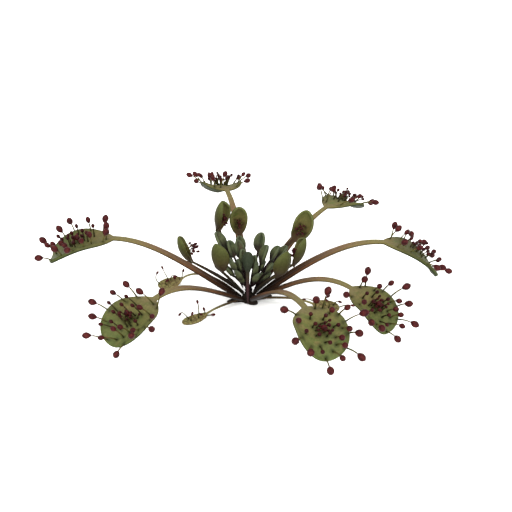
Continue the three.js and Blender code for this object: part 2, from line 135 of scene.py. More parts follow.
# Tentacles of a large leaf: along (0 at the blade's base, 1 at its tip), across (-1 to 1), lean
# forward and outward next to 1 upwards, length from the root to the head's middle, head length.
LARGE_TENTACLES = (
    (0.15, 0.82, -0.2, 0.25, 4.3, 2.4), (0.1, 0.55, 0.3, -0.25, 4.6, 2.4),
    (0.16, -0.76, -0.05, -1.4, 4.1, 2.4), (0.4, 0.87, 0.15, 1.05, 3.3, 1.9),
    (0.54, 0.89, 0.5, 4.3, 4.7, 2.4), (0.3, 0.7, 0.3, 0.05, 3.4, 1.9),
    (0.34, -0.72, 0.4, -0.9, 3.7, 1.9), (0.53, -0.02, 0, 0.05, 2.1, 1.9),
    (0.6, 0.75, 0.5, 0.6, 2.9, 1.9), (0.71, 0.91, 0.4, 0.95, 3.7, 2.4),
    (0.69, 0.43, 0.25, 0.2, 3.3, 1.9), (0.8, 0.41, 0.15, 0.2, 4.1, 1.9),
    (0.87, 0.22, 0.4, 0.05, 4.3, 1.9), (0.74, -0.65, 0.65, -1.35, 3.7, 2.4),
    (0.6, -0.87, 1.15, -3.7, 4.1, 2.4), (0.88, 0.9, 1.3, 1.3, 4.3, 2.4),
    (0.94, -0.31, 0.55, -0.65, 4.9, 2.4), (0.28, -0.14, 0.25, -0.4, 3.8, 1.35),
    (0.36, 0.31, 0.2, -0.05, 3.4, 1.35), (0.44, -0.21, 0.15, -0.3, 2.9, 1.35),
    (0.53, -0.58, 0.15, -0.8, 3, 1.35), (0.6, -0.1, -0.2, 0.15, 2.5, 1.35),
    (0.59, -0.21, 0.15, -0.35, 3, 1.35), (0.49, 0.25, 0.15, 0.05, 2.3, 1.1),
    (0.64, 0.16, 0, -0.1, 3.2, 1.1), (0.6, 0.29, 0.1, -0.1, 4.2, 1.1),
    (0.54, 0.48, 0.15, 0.4, 2.2, 1.35), (0.72, 0.01, 0.15, -0.15, 3.2, 1.35),
    (0.75, -0.23, 0.5, -0.6, 3.5, 1.35), (0.42, 0.05, 0.3, 0.2, 2.4, 0.95),
    (0.46, -0.08, 0.2, -0.1, 2, 0.95), (0.47, 0.12, 0.35, 0.3, 2.6, 0.95),
    (0.5, 0.02, 0.1, 0.1, 1.7, 0.95), (0.5, -0.14, 0.3, -0.3, 2.3, 0.95),
    (0.56, 0.1, 0.2, 0.2, 2, 0.95), (0.45, 0.2, 0, 0.5, 2.2, 0.95),
)
# Tentacles of a young leaf: along, across, forward, outward, share of the reach, head length.
YOUNG_TENTACLES = (
    (0.22, 0.1, 0.1, 0, 1, 0.95), (0.3, 0.45, 0.1, -0.2, 1, 0.95), (0.33, -0.4, 0.1, 0.2, 1, 0.95),
    (0.45, 0.15, 0.1, 0, 1, 0.95), (0.5, -0.25, 0.1, 0.1, 1, 0.95), (0.38, 0, 0, 0, 0.75, 0.8),
    (0.27, -0.15, -0.2, 0, 0.9, 0.8), (0.4, 0.35, 0.2, -0.1, 0.8, 0.8),
    (0.36, -0.55, 0, 0.3, 1, 0.8), (0.52, 0.4, 0.2, -0.2, 0.8, 0.8),
)
# Withered tentacles: along, across, then three (sideways, upwards) steps of the curl.
OLD_TENTACLES = (
    ((0.85, 0.3, (-0.9, 0.6), (-1.9, 2), (-1, 3.5)),
     (0.6, -0.2, (0, 1), (-0.9, 2.6), (-1.5, 4.6)),
     (0.55, -0.4, (-0.1, 1.3), (0.2, 2.6), (0.8, 1.6)),
     (0.65, 0.2, (-0.4, 0.5), (-0.6, 1.1), (-0.1, 1.4)),
     (0.1, 0.2, (0, 0.9), (-0.4, 1.3), (-0.9, 1.4)),
     (0.02, -0.3, (0.1, 0.6), (0.1, 1.2), (0.4, 2.2))),
    ((0.68, -0.2, (-0.8, 1.3), (-1.7, 3), (-2.2, 2)),
     (0.7, 0.3, (0.1, 0.9), (0, 1.5), (0.3, 2.2)),
     (0.4, 0.3, (0.2, 1.2), (0.3, 3.2), (0, 4.9)),
     (0.3, -0.5, (-0.1, 0.5), (0.3, 0.9), (0.6, 0.5)),
     (0.12, 0.2, (0.1, 0.5), (0.2, 1), (0, 1.6)),
     (0.08, 0.6, (0.8, 0), (1.2, 0.1), (1.5, 0.15))),
    ((0.15, 0.4, (-1, 0.9), (-2, 1.7), (-3, 1.3)),
     (0.5, 0.2, (-0.5, 1), (-0.3, 2.4), (0.3, 2.8)),
     (0.6, -0.2, (0.4, 1), (0.2, 2.2), (-0.3, 2.4)),
     (0.75, 0.3, (0.4, 0.9), (0.9, 1.7), (1.5, 1.4)),
     (0.95, 0, (1, 0.6), (2.2, 1.2), (3.4, 0.8))),
)

# Young and withered tentacles: width or radius of a hair, and width of a head as a part of its
# length. A withered head is OLD_HEAD long and starts OLD_SEAT back from the end of its hair.
YOUNG_HAIR, YOUNG_PLUMPNESS = 0.24, 0.6
OLD_HAIR, OLD_PLUMPNESS, OLD_HEAD, OLD_SEAT = 0.17, 0.5, 1.35, 0.4
# Heads of the large leaves shorter than this are the dark inner ones.
INNER_HEAD = 1.5
# How far the dark ring round a tentacle's root reaches: the blade's own dark mark at the root,
# deepened into a painted shadow of the tentacle.
ROOT_SHADOW_RING = 0.58

# Lobes: azimuth, reach and spread.
CROWN = {"radius": 1.85, "height": 2.6, "lobes": ((-80, 3.8, 12), (105, 4.4, 12), (42, 1.2, 28))}
# Rings of the crown from the floor up: height, share of the lobes, and a step that is taken off
# the outline where it has lobes and added to it where it has none.
CROWN_RINGS = ((0.02, 1, 0.1), (0.15, 1, 0.02), (0.35, 1, 0), (0.55, 0.97, 0.06),
               (0.75, 0.88, 0.18), (0.9, 0.7, 0.3), (1.05, 0.1, 0.05), (1.3, 0, -0.15),
               (1.4, 0, -0.4), (1.5, 0, -0.75), (1.7, 0, -0.92), (2.2, 0, -0.95),
               (2.5, 0, -1), (2.58, 0, -1.15))

# The camera aims at TARGET and its picture is SHOWN metres wide there. The sensor is in mm.
TARGET = (1.9, 0, 13.4)
SHOWN = 0.128
SENSOR = 36
FLOOR_RADIUS = 3


# ---- Colours ----

def linear(code):
    """Linear red, green, blue and alpha of an sRGB hex colour such as "6e7145"."""
    values = [int(code[i:i + 2], 16) / 255 for i in (0, 2, 4)]
    return (*[v / 12.92 if v <= 0.04045 else ((v + 0.055) / 1.055) ** 2.4 for v in values], 1.0)


def ramp(*stops):
    """Colour stops from pairs of a place and a colour, a setting or an sRGB hex code."""
    return [(place, linear(colour) if isinstance(colour, str) else tuple(colour))
            for place, colour in stops]


def colour_property(label, code, description):
    """A colour setting with its default given as an sRGB hex code."""
    return bpy.props.FloatVectorProperty(
        name=label, description=description, default=linear(code), size=4, min=0, max=1,
        subtype="COLOR")


# ---- Settings ----

class SundewSizes(bpy.types.PropertyGroup):
    """Sizes that every leaf shares."""

    hair_width: bpy.props.FloatProperty(
        name="Hair width", description="Thickness of a large leaf's tentacle at its middle",
        default=0.35 * MM, min=0.1 * MM, max=0.6 * MM, unit="LENGTH", precision=5)
    head_plumpness: bpy.props.FloatProperty(
        name="Head plumpness", description="Width of a gland head as a part of its length",
        default=0.71, min=0.4, max=1, subtype="FACTOR")
    hair_bow: bpy.props.FloatProperty(
        name="Hair bow", description="How far a hair bows upwards, as a part of its length",
        default=0.045, min=0, max=0.2, subtype="FACTOR")
    head_nod: bpy.props.FloatProperty(
        name="Head nod", description="How far a head nods down from its hair",
        default=0.3, min=0, max=0.8, subtype="FACTOR")
    groove: bpy.props.FloatProperty(
        name="Stalk groove", description="Depth of the channel along a stalk's upper side",
        default=0.55, min=0, max=0.9, subtype="FACTOR")


class SundewColours(bpy.types.PropertyGroup):
    """Colours of the leaves, hairs, glands and crown."""

    # The stalk foot is the stalk's own dark brown deepened by painted shade where the leaves crowd
    # the crown.
    shaded_stalk_foot: colour_property("Stalk foot", "120a07", "Stalk where it leaves the crown")
    stalk: colour_property("Stalk", "4a3626", "Upper face of a large leaf's stalk")
    stalk_rim: colour_property("Stalk rim", "4a301d", "Raised edges of the stalk")
    blade_base: colour_property("Blade base", "585036", "Blade beside the stalk")
    blade: colour_property("Blade", "585630", "Middle of the blade")
    blade_tip: colour_property("Blade tip", "4b532e", "Far end of the blade")
    # This colour and the next, the backs of the leaves, are the leaves' own dark green deepened by
    # painted shade under the leaves.
    shaded_underside: colour_property("Underside", "202915", "Back of the blade")
    young: colour_property("Young leaf", "2f2f15", "Back of a young leaf")
    young_inside: colour_property("Young inside", "524b29", "Hollow side of a young leaf")
    heart: colour_property("Heart leaf", "454930", "Small folded leaves of the heart")
    old: colour_property("Old leaf", "6b613d", "Withered leaf")
    old_vein: colour_property("Old leaf wrinkles", "443620", "Creases of a withered leaf")
    hair: colour_property("Hair", "484221", "Stalk of a tentacle")
    gland: colour_property("Gland", "351011", "Head of a tentacle")
    crown: colour_property("Crown", "18120d", "Corky crown")


class SundewStage(bpy.types.PropertyGroup):
    """The floor, light and camera."""

    floor: colour_property("Floor", "fafaf8", "Plain floor")
    sky: bpy.props.FloatProperty(
        name="Room light", description="Strength of the even light of the room",
        default=1.2, min=0, max=3)
    lamp: bpy.props.FloatProperty(
        name="Overhead light", description="Strength of the soft light from above",
        default=5.6, min=0, max=10)
    lamp_spread: bpy.props.FloatProperty(
        name="Overhead light spread", description="Angle across the soft light from above",
        default=math.radians(110), min=0, max=math.pi, subtype="ANGLE")
    elevation: bpy.props.FloatProperty(
        name="Camera elevation", description="Height of the camera above the horizon",
        default=math.radians(32.2), min=0, max=math.pi / 2, subtype="ANGLE")
    distance: bpy.props.FloatProperty(
        name="Camera distance", description="From the camera to the middle of the plant",
        default=0.25, min=0.1, max=2, unit="LENGTH")


# ---- Leaf surface ----

STEPS = 120
EDGE_POINTS = 7


def smooth(x):
    """0 below 0, 1 above 1 and 3x^2 - 2x^3 between."""
    x = np.clip(x, 0, 1)
    return x * x * (3 - 2 * x)


def joint_of(leaf):
    """Where the blade starts, as a fraction of the leaf's length."""
    return leaf["stalk"] / (leaf["stalk"] + leaf["blade"])


def heading(leaf, s):
    """Slope and azimuth of the midline at the fraction s of its length, in radians.

    The slope goes from rise to lean as (place on the stalk)^bend, then evenly to tip over the
    blade. The azimuth swings evenly by turn.
    """
    joint = joint_of(leaf)
    on_stalk = np.clip(s / joint, 0, 1) ** leaf["bend"]
    on_blade = np.clip((s - joint) / (1 - joint), 0, 1)
    slope = (leaf["rise"] + (leaf["lean"] - leaf["rise"]) * on_stalk
             + (leaf["tip"] - leaf["lean"]) * on_blade)
    return np.radians(slope), np.radians(leaf["azimuth"] + leaf["turn"] * s)


def direction(slope, azimuth):
    """Unit vectors with that slope above the horizon and that azimuth."""
    return np.stack([np.sin(azimuth) * np.cos(slope), -np.cos(azimuth) * np.cos(slope),
                     np.sin(slope)], -1)


def midline(leaf, s):
    """Points of the midline at s: the headings of 120 equal steps summed from the crown."""
    step = (leaf["stalk"] + leaf["blade"]) / STEPS
    path = direction(*heading(leaf, (np.arange(STEPS) + 0.5) / STEPS)) * step
    azimuth = math.radians(leaf["azimuth"])
    start = np.array([leaf["base_radius"] * math.sin(azimuth),
                      -leaf["base_radius"] * math.cos(azimuth), leaf["base_height"]])
    points = np.vstack([start, start + np.cumsum(path, 0)])
    place = np.linspace(0, 1, STEPS + 1)
    return np.stack([np.interp(s, place, points[:, k]) for k in range(3)], -1)


def half_width(leaf, s):
    """Half the leaf's width round its section at s.

    On the blade x, from 0 to 1, gives width (x/m)^swell ((1-x)/(1-m))^point with its peak at
    m = swell/(swell+point). The strap of the stalk widens over the ramp, narrows to its neck at
    the blade and fades over it. The two are joined as the root of the sum of their squares.
    """
    joint = joint_of(leaf)
    x = np.clip((s - joint) / (1 - joint), 0, 1)
    widest = leaf["swell"] / (leaf["swell"] + leaf["point"])
    blade = (leaf["width"] * (x / widest) ** leaf["swell"]
             * (np.maximum(1 - x, 1e-4) / (1 - widest)) ** leaf["point"])
    ramp = 0.3 + 0.7 * np.clip(s * (leaf["stalk"] + leaf["blade"]) / leaf["ramp"], 0, 1)
    strap = leaf["strap"] * (1 + (leaf["neck"] - 1) * np.clip(s / joint, 0, 1)) * ramp
    strap = np.where(s > joint, leaf["strap"] * leaf["neck"] * (1 - x) ** 2, strap)
    return np.hypot(blade, strap)


def on_leaf(leaf, s, u):
    """Points and axes of the leaf's middle surface at s along it and u, -1 to 1, across it.

    The section is an arc of half length w that turns by the angle f on either side: sideways
    w sin(f u)/f, upwards w (1 - cos(f u))/f. f grows from 0 to cup over the start of the blade.
    """
    joint = joint_of(leaf)
    slope, azimuth = heading(leaf, s)
    along = direction(slope, azimuth)
    roll = (math.radians(leaf["roll"]) * smooth((s / joint - 0.5) * 2))[..., None]
    side = np.stack([np.cos(azimuth), np.sin(azimuth), np.zeros_like(azimuth)], -1)
    rise = np.cross(along, side)
    side, up = side * np.cos(roll) + rise * np.sin(roll), rise * np.cos(roll) - side * np.sin(roll)
    fold = np.maximum(math.radians(leaf["cup"])
                      * smooth((s - joint) / (1 - joint) / leaf["onset"]), 1e-4)
    width = half_width(leaf, s)
    turn = fold * u
    point = (midline(leaf, s) + side * (width * np.sin(turn) / fold)[..., None]
             + up * (width * (1 - np.cos(turn)) / fold)[..., None])
    cos, sin = np.cos(turn)[..., None], np.sin(turn)[..., None]
    return point, along, side * cos + up * sin, up * cos - side * sin


# ---- Meshes ----

def lattice(rows, columns):
    """Corner numbers of the faces of a closed tube of rows x columns points and two poles.

    Point (i, j) has the number i columns + j. The poles come last: rows columns, then + 1. Faces
    run from row to row and from column to column, so they face along (row x column).
    """
    i, j = np.meshgrid(np.arange(rows - 1), np.arange(columns), indexing="ij")
    k = (j + 1) % columns
    quads = np.stack([i * columns + j, (i + 1) * columns + j, (i + 1) * columns + k,
                      i * columns + k], -1).reshape(-1, 4)
    j = np.arange(columns)
    k = (j + 1) % columns
    first, last = rows * columns, rows * columns + 1
    end = (rows - 1) * columns
    fans = np.vstack([np.stack([np.full(columns, first), j, k], -1),
                      np.stack([np.full(columns, last), end + k, end + j], -1)])
    return quads, fans


def piece(name, shapes, material, node):
    """Joins shapes into one smooth mesh that rides on the plant in the place of its CAD node.

    Each shape is (points in millimetres, four-cornered faces, three-cornered faces, place,
    shade): place is a vector and shade a number for each point, which the material reads.
    """
    offsets = np.cumsum([0] + [len(s[0]) for s in shapes[:-1]])
    points = np.vstack([s[0] for s in shapes]) * MM
    faces = (np.vstack([s[1] + o for s, o in zip(shapes, offsets)]).tolist()
             + np.vstack([s[2] + o for s, o in zip(shapes, offsets)]).tolist())
    mesh = bpy.data.meshes.new(name)
    mesh.from_pydata(points.tolist(), [], faces)
    mesh.attributes.new("place", "FLOAT_VECTOR", "POINT").data.foreach_set(
        "vector", np.vstack([s[3] for s in shapes]).astype(np.float32).ravel())
    mesh.attributes.new("shade", "FLOAT", "POINT").data.foreach_set(
        "value", np.concatenate([s[4] for s in shapes]).astype(np.float32))
    mesh.shade_smooth()
    mesh.materials.append(material)
    if mesh.validate():
        raise RuntimeError(f"{name} has faulty faces")
    made = bpy.data.objects.new(name, mesh)
    bpy.context.scene.collection.objects.link(made)
    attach(made, "root")
    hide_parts(node)


def blade_shape(leaf, on_stalk, on_blade, flat, groove, keel=0.0, wrinkle=0.0, crease=0.0,
                roots=None, away_shade=0.0):
    """The closed skin of a leaf: a bent strip with half-round edges, carried along the midline.

    Round the strip a point has the distance f (w - h) + c h from the midline and the level l h,
    where w is half the width, h half the thickness, f runs over the flat faces and c and l are
    the cosine and sine round the edges. The upper side sinks by groove exp(-(u/0.5)^2) on the
    stalk and the lower side swells by keel exp(-(u/0.35)^2). crease is how deep the blade folds
    down along its middle, as exp(-(u/0.2)^2), and wrinkle is the height of crossing sine waves on
    it. The shade number, which darkens the colour, is highest round the roots, as a painted shadow
    of the tentacles, and the last argument paints shade over the rest of the blade of a leaf that
    gets less light. The thickness closes to a half round at the tip.
    """
    joint = joint_of(leaf)
    length = leaf["stalk"] + leaf["blade"]
    stalk = np.linspace(0, 1, on_stalk, endpoint=False) ** 1.2 * joint
    blade = joint + (1 - joint) * (1 - (1 - np.linspace(0, 1, on_blade)) ** 1.8)
    s = np.concatenate([stalk, blade[:-1], [1 - 0.0004]])
    angle = np.linspace(math.pi / 2, -math.pi / 2, EDGE_POINTS)
    edge = np.ones(EDGE_POINTS)
    spread = np.sin(np.linspace(-1, 1, flat)[1:-1] * math.pi / 2 * 0.9) / math.sin(math.pi * 0.45)
    f = np.concatenate([spread, edge, -spread, -edge])
    c = np.concatenate([0 * spread, np.cos(angle), 0 * spread, -np.cos(angle)])
    level = np.concatenate([0 * spread + 1, np.sin(angle), 0 * spread - 1, -np.sin(angle)])
    wide = half_width(leaf, s)[:, None]
    share = np.clip(s / joint, 0, 1)
    thick = leaf["stalk_thickness"] + (leaf["blade_thickness"] - leaf["stalk_thickness"]) * share
    to_tip = np.clip((1 - s) * length / (thick / 2), 0, 1)
    high = thick / 2 * np.sqrt(to_tip * (2 - to_tip)) + 0.02
    high = np.minimum(high, wide[:, 0] * 0.85)[:, None]
    u = (f * (wide - high) + c * high) / wide
    s2 = np.broadcast_to(s[:, None], u.shape)
    onto = smooth((s2 - joint * 0.92) / (joint * 0.16))
    top = 1 - groove * (1 - onto) * np.exp(-(u / 0.5) ** 2) * smooth(s2 * length / 4)
    low = 1 + keel * np.exp(-(u / 0.35) ** 2) * smooth((s2 - joint) * 8)
    lift = level * high * np.where(level > 0, top, low)
    x = np.clip((s2 - joint) / (1 - joint), 0, 1)
    lift = lift - crease * np.exp(-(u / 0.2) ** 2) * smooth(x * 4) * smooth((1 - x) * 5)
    if wrinkle:
        waves = (np.sin(9 * u + 21 * x) + np.sin(31 * x - 8 * u + 1) + np.sin(17 * u - 12 * x + 2)
                 + np.sin(43 * x + 23 * u))
        lift = lift + wrinkle * waves * smooth(x * 6) * smooth((1 - x) * 5)
    point, _, _, normal = on_leaf(leaf, s2, u)
    point = point + normal * lift[..., None]
    low_limit = leaf["floor"] + (level + 1) * high * 0.8
    point[..., 2] = np.maximum(point[..., 2], low_limit)
    poles = on_leaf(leaf, np.array([0.0, 1.0]), np.array([0.0, 0.0]))[0]
    poles[:, 2] = np.maximum(poles[:, 2], leaf["floor"] + leaf["blade_thickness"] / 2)
    points = np.vstack([point.reshape(-1, 3), poles])
    along = np.where(s2 < joint, s2 / joint, 1 + x)
    place = np.stack([along, u, np.broadcast_to((1 - level) / 2, u.shape)], -1).reshape(-1, 3)
    place = np.vstack([place, [[0, 0, 0.5], [2, 0, 0.5]]])
    shade = np.zeros(len(points))
    # shade: the painted shadow of the tentacles round their roots, and painted shade over the far
    # blade of a leaf that gets less light
    if roots is not None:
        gap = np.linalg.norm(points[:, None] - roots[None], axis=2)
        even = np.append(smooth(3 * x), [0, 1]) * away_shade
        shade = np.maximum(np.exp(-(gap / ROOT_SHADOW_RING) ** 2).max(1), even)
    quads, fans = lattice(*u.shape)
    return points, quads, fans, place, shade


def tube_shapes(paths, radii, flat_axis, sides):
    """Tubes along paths (number, rings, 3) with radii (number, rings), closed by end poles.

    The first and last point of a path are its poles. Each ring stands square to its path, on
    e1 = path x axis and e2 = path x e1, and its points are p + r (cos a e1 - sin a e2).
    """
    count, rings, _ = paths.shape
    ahead = np.gradient(paths, axis=1)
    ahead /= np.linalg.norm(ahead, axis=2, keepdims=True)
    first = np.cross(ahead, flat_axis[:, None])
    first /= np.linalg.norm(first, axis=2, keepdims=True)
    second = np.cross(ahead, first)
    angle = np.arange(sides) * 2 * math.pi / sides
    inner = slice(1, rings - 1)
    ring = (paths[:, inner, None] + radii[:, inner, None, None] * (
        np.cos(angle)[None, None, :, None] * first[:, inner, None]
        - np.sin(angle)[None, None, :, None] * second[:, inner, None]))
    points = np.concatenate([ring.reshape(count, -1, 3), paths[:, [0, -1]]], 1)
    quads, fans = lattice(rings - 2, sides)
    shift = np.arange(count)[:, None, None] * points.shape[1]
    along = np.linspace(0, 1, rings)
    place = np.zeros((count, points.shape[1], 3))
    place[..., 0] = np.concatenate([np.repeat(along[inner], sides), along[[0, -1]]])
    place[..., 1] = (np.arange(count) * 0.381 % 1)[:, None]
    return (points.reshape(-1, 3), (quads[None] + shift).reshape(-1, 4),
            (fans[None] + shift).reshape(-1, 3), place.reshape(-1, 3),
            np.zeros(points[..., 0].size))


def across_axis(ahead):
    """A level axis square to each direction, or X where the direction is upright."""
    axis = np.cross(ahead, [0.0, 0.0, 1.0])
    size = np.linalg.norm(axis, axis=-1, keepdims=True)
    return np.where(size > 1e-3, axis / np.maximum(size, 1e-3), [1.0, 0.0, 0.0])


def tentacle_shapes(roots, ahead, length, head, width, bow, nod, plumpness):
    """Hairs that bow upwards and egg-shaped heads with their middles at root + ahead length.

    A head nods down from its hair, to ahead - nod upward. The hair is root +
    (end - root) t + upward bow length sin(pi t). Its radius is half the width, a fifth thicker at
    the root, flared where it leaves the skin and where it enters the head.
    """
    upward = np.array([0.0, 0.0, 1.0]) - ahead * ahead[:, 2:3]
    axis = ahead - nod * upward
    axis /= np.linalg.norm(axis, axis=1, keepdims=True)
    base = roots + ahead * length[:, None] - axis * head[:, None] / 2
    t = np.linspace(0, 1, 9)
    paths = (roots[:, None] + (base + axis * head[:, None] * 0.1 - roots)[:, None] * t[:, None]
             + upward[:, None] * (bow * length[:, None] * np.sin(math.pi * t))[..., None])
    radii = width / 2 * (1.2 - 0.3 * t + 0.5 * np.exp(-t / 0.06) + 0.7 * np.exp((t - 1) / 0.05))
    hairs = tube_shapes(paths, radii + 0 * length[:, None], across_axis(ahead), 6)
    return hairs, egg_shapes(base, axis, head, plumpness)


def egg_shapes(base, ahead, length, plumpness):
    """Egg-shaped heads: radius = half width (sin(pi t^1.15))^0.62 from their base to their tip."""
    t = (1 - np.cos(np.linspace(0, math.pi, 9))) / 2
    paths = base[:, None] + ahead[:, None] * (length[:, None] * t)[..., None]
    radii = length[:, None] * plumpness / 2 * np.sin(math.pi * t ** 1.15).clip(0) ** 0.62
    return tube_shapes(paths, radii, across_axis(ahead), 10)


def seats(leaf, spots):
    """Roots and directions of tentacles. spots: along, across, forward, outward, one a row."""
    joint = joint_of(leaf)
    root, along, across, normal = on_leaf(leaf, joint + (1 - joint) * spots[:, 0], spots[:, 1])
    root[:, 2] = np.maximum(root[:, 2], leaf["floor"] + leaf["blade_thickness"] / 2)
    ahead = normal + along * spots[:, 2:3] + across * spots[:, 3:4]
    return root, ahead / np.linalg.norm(ahead, axis=1, keepdims=True)


# ---- Materials ----

SMOOTH = {"interpolation_type": "SMOOTHSTEP"}
MIX = {"data_type": "RGBA"}
TIMES = {"operation": "MULTIPLY"}
SCALE = {"operation": "SCALE"}


def add(tree, kind, settings=(), inputs=(), stops=()):
    """Adds a shader node of a kind, sets its fields and lays the stops of its colour ramp.

    An input is a value, a socket that is linked to it, or a node whose first output is.
    """
    node = tree.nodes.new(f"ShaderNode{kind}")
    for field, value in dict(settings).items():
        setattr(node, field, value)
    for _ in stops[2:]:
        node.color_ramp.elements.new(0.5)
    for index, (place, colour) in enumerate(stops):
        node.color_ramp.elements[index].position = place
        node.color_ramp.elements[index].color = colour
    for key, value in dict(inputs).items():
        if isinstance(value, bpy.types.Node):
            value = value.outputs[0]
        if isinstance(value, bpy.types.NodeSocket):
            tree.links.new(value, node.inputs[key])
        else:
            node.inputs[key].default_value = value
    return node


def new_material(name):
    """An empty material and its tree."""
    material = bpy.data.materials.new(name)
    material.use_nodes = True
    material.node_tree.nodes.clear()
    return material, material.node_tree


def plant_material(name):
    """A new material, its tree, the parts of its place attribute and its Object coordinates."""
    material, tree = new_material(name)
    place = add(tree, "Attribute", {"attribute_name": "place"}).outputs["Vector"]
    parts = add(tree, "SeparateXYZ", {}, {0: place}).outputs
    return material, tree, parts, add(tree, "TexCoord").outputs["Object"]


def skin(name, top, rim, under, root_shadow, patches, roughness, fold=0.0):
    """Living leaf skin: a waxy, faintly lit cuticle over green flesh, matt and finely grained.

    top, rim and under are colour stops along the leaf, 0 to 1 from the crown to the tip with the
    blade's base at 0.5, for the upper face, its edges and the back. spot is the colour of the
    painted shadow at the tentacles' roots, which the shade attribute mixes in. patches are two
    colours that blotches a few millimetres wide drift to. fold is how much darker the crease
    along the middle is painted, as shade in the crease.
    """
    material, tree, place, where = plant_material(name)
    half = add(tree, "Math", TIMES, {0: place[0], 1: 0.5})
    outer = add(tree, "Math", {"operation": "ABSOLUTE"}, {0: place[1]})
    face, edge, back = (add(tree, "ValToRGB", {}, {0: half}, stops) for stops in (top, rim, under))
    blade = add(tree, "MapRange", SMOOTH, {"Value": half, "From Min": 0.46, "From Max": 0.6})
    # blotches about 3 mm wide and others about 2 mm wide, on the blade only
    blotches = (({"Scale": 260, "Detail": 3, "Roughness": 0.6}, 0.5, 0.72, 0.8),
                ({"Scale": 420, "Detail": 2, "Distortion": 0.6}, 0.52, 0.75, 0.7))
    for (form, low, high, most), patch in zip(blotches, patches):
        noise = add(tree, "TexNoise", {}, {"Vector": where, **form})
        amount = add(tree, "MapRange", SMOOTH, {"Value": noise, "From Min": low, "From Max": high,
                                                "To Max": most})
        amount = add(tree, "Math", TIMES, {0: amount, 1: blade})
        face = add(tree, "Mix", MIX, {0: amount, 6: face, 7: linear(patch)}).outputs[2]
    near = add(tree, "MapRange", SMOOTH, {"Value": outer, "From Min": 0.65, "From Max": 1.0})
    # the shade attribute mixes in the painted shadow round the tentacles' roots and the painted
    # shade of a leaf that gets less light
    spots = add(tree, "Attribute", {"attribute_name": "shade"}).outputs["Fac"]
    # the back takes over round the edge to the lower side; on the large and young leaves its
    # colours are painted shade
    turned = add(tree, "MapRange", SMOOTH, {"Value": place[2], "From Min": 0.35, "From Max": 0.8})
    for amount, over in ((near, edge), (spots, linear(root_shadow)), (turned, back)):
        face = add(tree, "Mix", MIX, {0: amount, 6: face, 7: over}).outputs[2]
    # a grain of about 0.5 mm, as coarse as it needs to show
    grain = add(tree, "TexNoise", {}, {"Vector": where, "Scale": 1900, "Detail": 3,
                                       "Roughness": 0.65})
    light = add(tree, "MapRange", {}, {"Value": grain, "From Min": 0.25, "From Max": 0.75,
                                       "To Min": 0.76, "To Max": 1.22})
    face = add(tree, "VectorMath", SCALE, {0: face, "Scale": light})
    # painted shade in the crease along the middle
    if fold:
        crease = add(tree, "MapRange", SMOOTH, {"Value": outer, "From Min": 0.02,
                                                "From Max": 0.16, "To Min": 1 - fold})
        face = add(tree, "VectorMath", SCALE, {0: face, "Scale": crease})
    relief = add(tree, "Bump", {}, {"Height": grain, "Strength": 0.5, "Distance": 0.05 * MM})
    shader = add(tree, "BsdfPrincipled", {}, {
        "Base Color": face, "Roughness": roughness, "IOR": 1.45, "Specular IOR Level": 0.05,
        "Normal": relief})
    add(tree, "OutputMaterial", {}, {0: shader})
    return material


def gland_skin(colours, name, ripeness=1.0):
    """Gland head: a swollen crimson knob under a film of dried mucilage, matt with a soft sheen.

    ripeness is how bright its full colour is. The heads inside the blade are a third darker.
    """
    material, tree, place, where = plant_material(name)
    # mottling about 0.4 mm wide, a quarter of a head
    mottle = add(tree, "TexNoise", {}, {"Vector": where, "Scale": 1500, "Detail": 3,
                                        "Roughness": 0.6})
    body = add(tree, "ValToRGB", {}, {0: mottle},
               ramp((0.3, "1d0808"), (0.52, colours.gland), (0.75, "481b15")))
    neck = add(tree, "MapRange", SMOOTH, {"Value": place[0], "From Max": 0.3, "To Min": 1.0,
                                          "To Max": 0.0})
    body = add(tree, "Mix", MIX, {0: neck, 6: body, 7: linear("2e1813")}).outputs[2]
    inner = add(tree, "Attribute", {"attribute_name": "shade"}).outputs["Fac"]
    dim = add(tree, "MapRange", {}, {"Value": inner, "To Min": ripeness,
                                     "To Max": 0.65 * ripeness})
    body = add(tree, "VectorMath", SCALE, {0: body, "Scale": dim})
    relief = add(tree, "Bump", {}, {"Height": mottle, "Strength": 0.35, "Distance": 0.06 * MM})
    shader = add(tree, "BsdfPrincipled", {}, {
        "Base Color": body, "Roughness": 0.45, "IOR": 1.45, "Specular IOR Level": 0.06,
        "Normal": relief})
    add(tree, "OutputMaterial", {}, {0: shader})
    return material


def hair_skin(colours, name, tip):
    """Tentacle stalk: a thin green-brown hair with a dark root, half as bright inside the blade.

    tip is its colour under the head.
    """
    material, tree, place, where = plant_material(name)
    body = add(tree, "ValToRGB", {}, {0: place[0]},
               ramp((0.0, "181c0c"), (0.35, "373517"), (0.7, colours.hair), (1.0, tip)))
    # streaks about 0.6 mm long
    streak = add(tree, "TexNoise", {}, {"Vector": where, "Scale": 1300, "Detail": 2})
    light = add(tree, "MapRange", {}, {"Value": streak, "From Min": 0.3, "From Max": 0.7,
                                       "To Min": 0.75, "To Max": 1.2})
    inner = add(tree, "Attribute", {"attribute_name": "shade"}).outputs["Fac"]
    dim = add(tree, "MapRange", {}, {"Value": inner, "To Min": 1.0, "To Max": 0.45})
    light = add(tree, "Math", TIMES, {0: light, 1: dim})
    body = add(tree, "VectorMath", SCALE, {0: body, "Scale": light})
    shader = add(tree, "BsdfPrincipled", {}, {
        "Base Color": body, "Roughness": 0.5, "IOR": 1.45, "Specular IOR Level": 0.05})
    add(tree, "OutputMaterial", {}, {0: shader})
    return material


